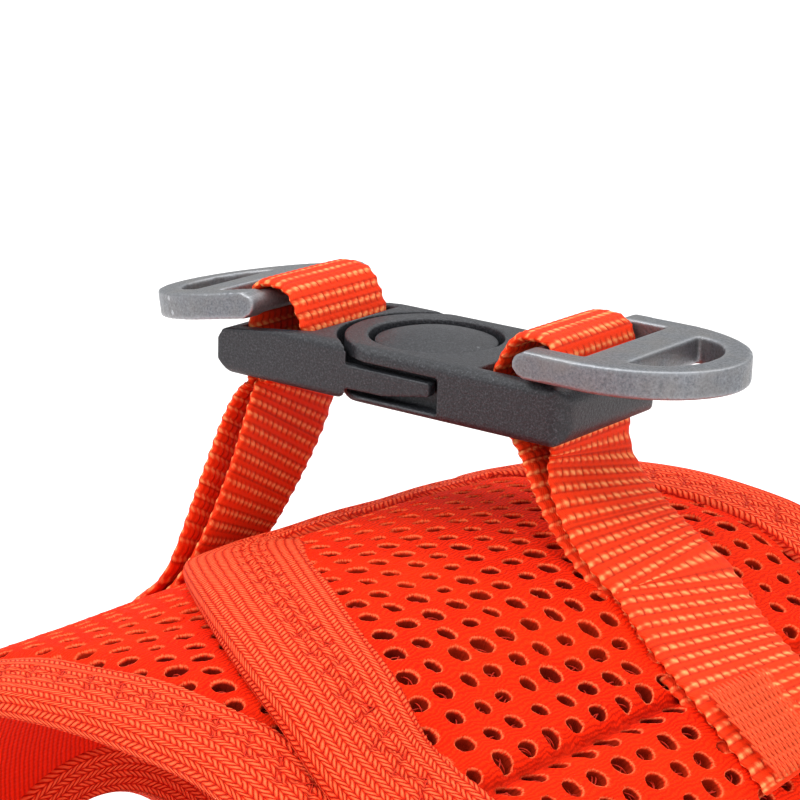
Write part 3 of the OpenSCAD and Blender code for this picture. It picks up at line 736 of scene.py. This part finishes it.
def build_bindings(tape, seam):
    both = (tape, seam)
    build_tape("neck_binding_left_tape", ["neck_binding_left"], -1, hem_path(LEFT_END, -180, neck_hem),
               HEM_TAPE, -1, both)
    build_tape("rear_binding_left_tape", ["rear_binding_left"], -1, hem_path(LEFT_END, -180, rear_hem),
               HEM_TAPE, 1, both, lean=2.0)
    # The wing's binding runs up the neck, round the wing's corner and back along its free edge
    front = hem_path(180, WING_EDGE, wing_front)
    edge_y = np.linspace(front[-1, 1], float(rear_hem(WING_EDGE)) - HEM_TAPE + 1.5, 120)[1:]
    edge = np.stack([np.full_like(edge_y, front[-1, 0]), edge_y], axis=1)
    path, t = resample(np.concatenate([front, edge]), 1.0)
    on_edge = path[:, 0] < front[-1, 0] + 0.3
    turn = float(np.interp(front[-1, 1], path[on_edge, 1], t[on_edge]))
    width = wing_tape(angle_at(path[:, 0]))
    edge_width = length_at(WING_TAPE_EDGE) - length_at(WING_EDGE)
    width = width + (edge_width - width) * smooth((t - turn + 4) / 14)
    path = soften_path(path, 6)
    build_tape("wing_binding_tape", ["neck_binding_right", "wing_edge_binding"], 1, path, width, -1, both,
               lean=0.5)
    build_tape("rear_binding_right_tape", ["rear_binding_right"], 1, hem_path(180, WING_EDGE, rear_hem),
               HEM_TAPE, 1, both, lean=3.0)
    for side, word in ((-1, "left"), (1, "right")):
        a = np.linspace(0, 2 * math.pi, 241)
        u = side * (LEG_ANGLE + LEG_HALF_ANGLE * np.cos(a))
        ring = np.stack([length_at(u), LEG_Y + LEG_HALF * np.sin(a)], axis=1)
        build_tape("leg_binding_%s_tape" % word, ["leg_binding_" + word], side, ring, LEG_TAPE + 0.6,
                   -side, both, closed=True, lean=1.5 * side)


# ---- Webbing ----

RING_X, RING_Z, LOOP_OUTER, LOOP_INNER = 24.4, 2.8, 27.0, 16.55
LOOP_EXIT, BAR_Z, BAR_R, BAR_GAP = -10.6, -5.4, 1.9, 0.25
SEWN_GAP = 0.25
STRAPS = {
    # Each side's loop: inner exit and its direction, outer direction; landing angle and station, sewn end,
    # drift along the back per degree and how far it turns back; and the pulls of its two plies
    -1: dict(exit_x=25.1, way=(0.4, 0, -0.917), outer_way=(0.75, 0, -0.66), land=-48.0, land_y=6.5,
             sewn=-66.0, drift=-0.1, turn=1e6, outer=(9, 8), inner=(4, 12)),
    1: dict(exit_x=21.6, way=(0.55, 0, -0.835), outer_way=(0.0, 0, -1.0), land=20.0, land_y=17.5,
            sewn=50.0, drift=-0.55, turn=30.0, outer=(4, 11), inner=(8, 10)),
}
WEB_STEP = 0.3
ROW, RIB = 2.05, 1.42
TACK_STEP, TACK_REACH, TACK_W, TACK_R = 0.45, 0.05, WEB_W - 1.6, 0.17
TACKS = {-1: (0.72, 0.90), 1: np.linspace(0.58, 0.95, 6)}    # where they cross, of the sewn length


def spline(points, count=24):
    """A smooth curve through points (n, 3)."""
    p = np.concatenate([[2 * points[0] - points[1]], points, [2 * points[-1] - points[-2]]])
    t = np.linspace(0, 1, count, endpoint=False)[:, None]
    parts = []
    for i in range(1, len(p) - 2):
        a, b, c, d = p[i - 1:i + 3]
        parts.append(0.5 * (2 * b + (c - a) * t + (2 * a - 5 * b + 4 * c - d) * t ** 2
                            + (3 * b - a - 3 * c + d) * t ** 3))
    return np.concatenate(parts + [points[-1:]])


def bezier(start, way, end, end_way, pulls):
    """A curve that leaves start along way and reaches end along end_way."""
    p = [start, start + pulls[0] * way, end - pulls[1] * end_way, end]
    t = np.linspace(0, 1, 60)[:, None]
    return (1 - t) ** 3 * p[0] + 3 * (1 - t) ** 2 * t * p[1] + 3 * (1 - t) * t * t * p[2] + t ** 3 * p[3]


def sewn_middle(side, u):
    """The station of the strap's middle where it is sewn to the vest at angle u."""
    k = STRAPS[side]
    x = u - k["land"]
    return k["land_y"] + k["drift"] * (x - x * x / (2 * k["turn"]))


def strap_line(side):
    """The middle of a whole strap, from its outer sewn end up over the ring, under the bar and back."""
    k = STRAPS[side]
    mirror = np.array([side, 1.0, 1.0])
    turn_r = LOOP_OUTER - RING_X
    top = RING_Z + turn_r
    under = BAR_Z - BAR_R - BAR_GAP - WEB_T / 2
    angle = np.radians(np.arange(0, 91, 15))
    over = np.stack([RING_X + turn_r * np.cos(angle), 0 * angle, RING_Z + turn_r * np.sin(angle)], axis=1)
    way = np.array(k["way"])
    out_exit = np.array([k["exit_x"], 0, LOOP_EXIT])
    loop = np.concatenate([
        [[LOOP_OUTER, 0, LOOP_EXIT]], [[LOOP_OUTER, 0, -4.0]], over,
        [[LOOP_INNER + 5.2, 0, top], [LOOP_INNER + 3.4, 0, top - 0.6], [LOOP_INNER + 2.2, 0, top - 2.2],
         [LOOP_INNER + 0.3, 0, top - 6.2], [LOOP_INNER, 0, BAR_Z + 0.8], [LOOP_INNER + 1.3, 0, under + 0.8],
         [(LOOP_INNER + k["exit_x"]) / 2 + 0.6, 0, under - 0.3]], [out_exit - way], [out_exit]])
    loop = spline(loop) * mirror + CLASP

    def landed(n, u):
        out = lift(u) if side > 0 else 0
        return skin(u, sewn_middle(side, u), out + SEWN_GAP * n + (n - 0.5) * WEB_T)

    def tangent():
        u = k["land"]
        ahead, behind = u + side, u - side
        rise = (lift(ahead), lift(behind)) if side > 0 else (0, 0)
        return unit(skin(ahead, CLASP[1], rise[0]) - skin(behind, CLASP[1], rise[1]))

    outer = bezier(loop[0], np.array(k["outer_way"]) * mirror, landed(2, k["land"]), tangent(), k["outer"])
    inner = bezier(loop[-1], way * mirror, landed(1, k["land"]), tangent(), k["inner"])
    along = np.linspace(k["land"], k["sewn"], 40)
    sewn_out, sewn_in = landed(2, along), landed(1, along)
    return np.concatenate([sewn_out[::-1][:-1], outer[::-1][:-1], loop, inner[1:], sewn_in[1:]])


def weave(t, x):
    """The height, paleness and painted shade of the webbing at t along it and x across it, in mm."""
    row = np.floor(t / ROW)
    along = t / ROW - row
    rib = x / RIB + 0.5
    across = rib - np.floor(rib)
    knot = 0.5 + 0.5 * np.sin(2.4 * row + 4.1 * np.floor(rib) + 1.3 * np.floor(rib) * row)
    middle = 0.16 + 0.05 * np.sin(2 * math.pi * across)
    weft = np.exp(-((along - middle) / (0.085 + 0.04 * knot)) ** 2)
    pale = weft * np.clip(1.5 * np.sin(math.pi * across) - 0.2, 0, 1)
    between = np.clip(np.sin(math.pi * (along - 0.30) / 0.72), 0, 1) ** 0.6 * (along > 0.3)
    ribs = between * np.sin(math.pi * across) ** 0.6
    groove = np.exp(-(np.minimum(across, 1 - across) / 0.11) ** 2) * between
    row_edge_shade = np.exp(-((along - 0.33) / 0.07) ** 2) + np.exp(-((along - 0.99) / 0.06) ** 2)
    height = 0.17 * weft + 0.22 * ribs - 0.12
    # Painted shade in the grooves between ribs and along the rows' edges
    gap = np.clip(0.85 * groove + 0.55 * row_edge_shade * (1 - pale), 0, 1)
    return height, np.clip(pale * (0.8 + 0.4 * knot), 0, 1), gap


def build_strap(side, material, thread):
    """One whole strap with the stitches that hold it to its wing."""
    k = STRAPS[side]
    word = "left" if side < 0 else "right"
    line, t = resample(strap_line(side), WEB_STEP)
    line = soften_path(line, 3)
    ahead = unit(np.gradient(line, axis=0))
    # The webbing lies square across its length, leaning with the sewn ends near the vest
    lean = np.array([-k["drift"] * 0.8 * side, 1.0, 0.0])
    near = 1 - smooth((line[:, 2] - 90) / 16)
    hint = unit(np.array([0.0, 1.0, 0.0]) + near[:, None] * (lean - np.array([0.0, 1.0, 0.0])))
    weft = unit(hint - np.sum(hint * ahead, axis=1, keepdims=True) * ahead)
    # The face that shows outside is the one turned away from the loop's middle
    face = np.cross(ahead, weft) * side
    columns = int(WEB_W / WEB_STEP)
    x = np.linspace(-WEB_W / 2, WEB_W / 2, columns)
    edge = 0.22 * np.sin(2 * math.pi * t / ROW) + 0.12 * np.sin(t / 5.0 + side)
    scale = 1 + edge / (WEB_W / 2)
    high, pale, gap = weave(t[:, None], x[None])
    round_off = np.sqrt(np.clip(1 - (np.abs(x) / (WEB_W / 2)) ** 14, 0.02, 1))
    rows, tones = [], []
    for sign in (1, -1):
        xs = x if sign > 0 else x[::-1]
        h, p, g = (WEB_T / 2 - 0.06 + high) * round_off, pale, gap
        if sign < 0:
            h, p, g = h[:, ::-1], np.roll(pale, 3, axis=0)[:, ::-1], gap[:, ::-1]
        rows.append(line[:, None] + weft[:, None] * (xs[None] * scale[:, None])[..., None]
                    + sign * face[:, None] * h[..., None])
        tones.append(np.stack([p, g, 0 * p], axis=-1))
    points = np.concatenate(rows, axis=1)
    tone = np.concatenate(tones, axis=1)
    n, m = points.shape[:2]
    quads = grid_quads(n, m, wrap_m=True)
    cap = np.array([[i, i + 1, m - 2 - i, m - 1 - i] for i in range(m // 2 - 1)])
    quads = np.concatenate([quads, cap, cap[:, ::-1] + (n - 1) * m])
    if side < 0:
        quads = quads[:, ::-1]
    uv = np.stack([np.broadcast_to(v, (n, m)) for v in (t[:, None], np.concatenate([x, x[::-1]]))], -1)
    strap = new_piece("strap_%s_webbing" % word, points, quads, uv, tone.reshape(-1, 3), material,
                      "webbing")
    nodes = ["strap_%s_%s" % (word, part) for part in ("loop", "outer_ply", "inner_ply", "anchor")]
    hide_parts(*nodes)
    if side < 0:
        land = skin(k["land"], k["land_y"], 2.0) * MM
        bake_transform(strap)
    else:
        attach(strap, "vest")
    # Bar tacks hold both plies to the wing
    stitches = []

    def on_strap(q, x, out):
        """Points on the outer ply's face, q from 0 at the landing to 1 at the sewn end, x across it."""
        u = k["land"] + (k["sewn"] - k["land"]) * q
        y = sewn_middle(side, u) + x
        high = (lift(u) if side > 0 else 0) + 2 * SEWN_GAP + 2 * WEB_T + out
        return skin(u, y, high)

    for q in TACKS[side]:
        steps = np.arange(0, TACK_W, TACK_STEP)
        xs = np.stack([steps, steps + TACK_STEP], axis=1) - TACK_W / 2
        qs = np.where(np.arange(len(steps))[:, None] % 2 == 0, np.array([q - TACK_REACH, q + TACK_REACH]),
                      np.array([q + TACK_REACH, q - TACK_REACH]))
        f = np.linspace(0, 1, 5)
        px = xs[:, :1] + (xs[:, 1:] - xs[:, :1]) * f
        pq = qs[:, :1] + (qs[:, 1:] - qs[:, :1]) * f
        stitches.append(on_strap(pq, px, 0.28 - 0.25 * np.abs(2 * f - 1) ** 2))
    stitches = np.concatenate(stitches)
    facing = np.broadcast_to(unit(on_strap(0.5, 0.0, 1.0) - on_strap(0.5, 0.0, 0.0)), stitches.shape)
    tack = new_piece("strap_%s_bar_tacks" % word, *tubes(stitches, TACK_R, facing), material=thread,
                     slot="webbing")
    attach(tack, "vest")


# ---- Hook-and-loop closure under the wing ----

CLOSURE_ANGLES, CLOSURE_Y = (-24, 6), (0, 40)
# Each strip's lower and upper face above the left wing
CLOSURE = {"closure_loop_strip": (0.1, 0.45), "closure_hook_strip": (0.55, 0.9)}


def build_closure(materials, rng):
    for (name, (low, high)), material in zip(CLOSURE.items(), materials):
        s = np.linspace(*length_at(CLOSURE_ANGLES), 84)
        s, y = np.meshgrid(s, np.linspace(*CLOSURE_Y, 100), indexing="ij")
        pile = 0.07 * rng.standard_normal(s.shape)
        upper, lower = high + pile, low + 0 * pile
        both = np.concatenate([upper, lower[:, ::-1]], axis=1)
        s2, y2 = np.concatenate([s, s[:, ::-1]], axis=1), np.concatenate([y, y[:, ::-1]], axis=1)
        uv = np.stack([s2, y2], axis=-1)
        piece = new_piece(name + "_pile", cloth(-1, s2, y2, both), grid_quads(*s2.shape, wrap_m=True), uv,
                          np.zeros(s2.size), material, "closure_tape")
        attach(piece, "vest")
        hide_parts(name)


def pile_material(name, colour, scale):
    """Short pile of a closure strip, its tufts finer as scale rises."""
    g = Graph(name, Roughness=0.85, Sheen_Weight=0.5, Sheen_Roughness=0.5)
    _, _, uv = g.uv()
    tufts = g.noise(uv, scale, 3, 0.7)
    base = g.mix(g.fit(tufts, 0.3, 0.7), tuple(0.35 * c for c in colour), colour)
    return g.set(Base_Color=base, Normal=g.bump(tufts, 0.7, 0.0003))


# ---- Spring under the button ----

SPRING_R = 4.6
SPRING_WIRE_R = 0.2
SPRING_TURNS = 3
SPRING_FLOOR = 4.0       # below the clasp's top, with the button up
SPRING_HEIGHT = 1.9


def build_spring(material):
    """The coil under the button, at its length with the button up."""
    share = np.linspace(0, 1, 32 * SPRING_TURNS + 1)
    angle = 2 * math.pi * SPRING_TURNS * share
    rise = SPRING_WIRE_R + (SPRING_HEIGHT - 2 * SPRING_WIRE_R) * share
    line = CLASP + np.stack([SPRING_R * np.cos(angle), SPRING_R * np.sin(angle), rise - SPRING_FLOOR], axis=1)
    radius = np.full(len(share), SPRING_WIRE_R * 0.98)
    radius[[0, -1]] = 0.01
    coil = new_piece("button_spring_coil", *tubes(line[None], radius[None], (0, 0, 1), 10), material=material)
    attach(coil, "vest")
    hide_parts("button_spring")
    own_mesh(coil)


# ---- Clasp and rings: the CAD solids, with their edges rounded ----

def soften(node, voxel, passes, material):
    """Rounds a CAD solid's edges with cells of voxel mm and that many smoothing passes."""
    obj = frame["nodes"][node]
    weld = obj.modifiers.new("weld", "WELD")
    weld.merge_threshold = 1e-6
    remesh = obj.modifiers.new("skin", "REMESH")
    remesh.mode = "VOXEL"
    remesh.voxel_size = voxel * MM
    remesh.use_smooth_shade = True
    ease = obj.modifiers.new("ease", "SMOOTH")
    ease.factor = 0.5
    ease.iterations = passes
    for place in obj.material_slots:
        place.material = material


# ---- Camera, floor and light ----

AZIMUTH, ELEVATION, ROLL = 36.35, 15.89, 1.73
AIM = (5.355, 9.434)        # where the lens points, right of and above the clasp's centre, in mm
DISTANCE = 362.34
LENS, SENSOR = 112.5, 36.0
FLOOR_HALF = 3000.0
WORLD_STRENGTH = 0.62


def build_camera():
    az, el, roll = (math.radians(v) for v in (AZIMUTH, ELEVATION, ROLL))
    back = np.array([math.cos(el) * math.sin(az), -math.cos(el) * math.cos(az), math.sin(el)])
    level = np.array([math.cos(az), math.sin(az), 0.0])
    upright = np.cross(back, level)
    right = math.cos(roll) * level + math.sin(roll) * upright
    up = -math.sin(roll) * level + math.cos(roll) * upright
    place = (CLASP - right * AIM[0] - up * AIM[1] + back * DISTANCE) * MM
    data = bpy.data.cameras.new("camera")
    data.lens, data.sensor_width = LENS, SENSOR
    data.clip_start, data.clip_end = 0.01, 50
    camera = bpy.data.objects.new("camera", data)
    bpy.context.scene.collection.objects.link(camera)
    matrix = np.eye(4)
    matrix[:3, 0], matrix[:3, 1], matrix[:3, 2], matrix[:3, 3] = right, up, back, place
    camera.matrix_world = mathutils.Matrix(matrix.tolist())
    bpy.context.scene.camera = camera


def build_floor():
    corners = np.array([[-1, -1, 0], [1, -1, 0], [1, 1, 0], [-1, 1, 0]]) * FLOOR_HALF
    g = Graph("floor", Roughness=0.9, Base_Color=(0.93, 0.93, 0.93))
    floor = new_piece("floor", corners, [[0, 1, 2, 3]], material=g.material)


def area_light(name, place, target, size, power):
    data = bpy.data.lights.new(name, "AREA")
    data.shape, data.size, data.energy = "SQUARE", size, power
    light = bpy.data.objects.new(name, data)
    bpy.context.scene.collection.objects.link(light)
    direction = mathutils.Vector(target) - mathutils.Vector(place)
    light.location = place
    light.rotation_euler = direction.to_track_quat("-Z", "Y").to_euler()


def build_lights():
    world = bpy.data.worlds.new("studio")
    world.use_nodes = True
    background = world.node_tree.nodes["Background"]
    background.inputs[0].default_value = (1, 1, 1, 1)
    background.inputs[1].default_value = WORLD_STRENGTH
    bpy.context.scene.world = world
    middle = (0.0, 0.0, 0.09)
    area_light("top", (0.2, 0.4, 2.6), middle, 4.5, 105.0)
    area_light("key", (-0.30, -0.55, 0.75), middle, 0.25, 4.0)
    area_light("fill", (0.85, -0.35, 0.30), middle, 0.5, 1.5)
    bpy.context.scene.view_settings.view_transform = "Standard"


for extra in list(bpy.data.objects):
    bpy.data.objects.remove(extra)
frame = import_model()
build_camera()
build_floor()
build_lights()

rng = np.random.default_rng(7)
mesh_face, mesh_lining = air_mesh_material(), lining_material()
spacer = thread_material("spacer_thread", (0.62, 0.022, 0.006), 0.45)
for half in (-1, 1):
    build_air_mesh(half, mesh_face, mesh_lining, spacer, rng)
build_bindings(tape_material(), thread_material("seam_thread", (0.80, 0.03, 0.006)))
webbing = webbing_material()
tack_thread = thread_material("tack_thread", (1.0, 0.10, 0.025))
for half in (-1, 1):
    build_strap(half, webbing, tack_thread)
loops = pile_material("loop_pile", (0.9, 0.03, 0.004), 1.6)
hooks = pile_material("hook_pile", (0.7, 0.02, 0.003), 1.1)
build_closure((loops, hooks), rng)

plastic, metal = plastic_material(), metal_material()
for part in ("clasp_housing", "clasp_plug"):
    soften(part, 0.22, 8, plastic)
for part in ("clasp_base_plate", "clasp_button", "clasp_tongue"):
    soften(part, 0.2, 3, plastic)
for part in ("leash_ring_left", "leash_ring_right"):
    soften(part, 0.25, 12, metal)
build_spring(spring_material())
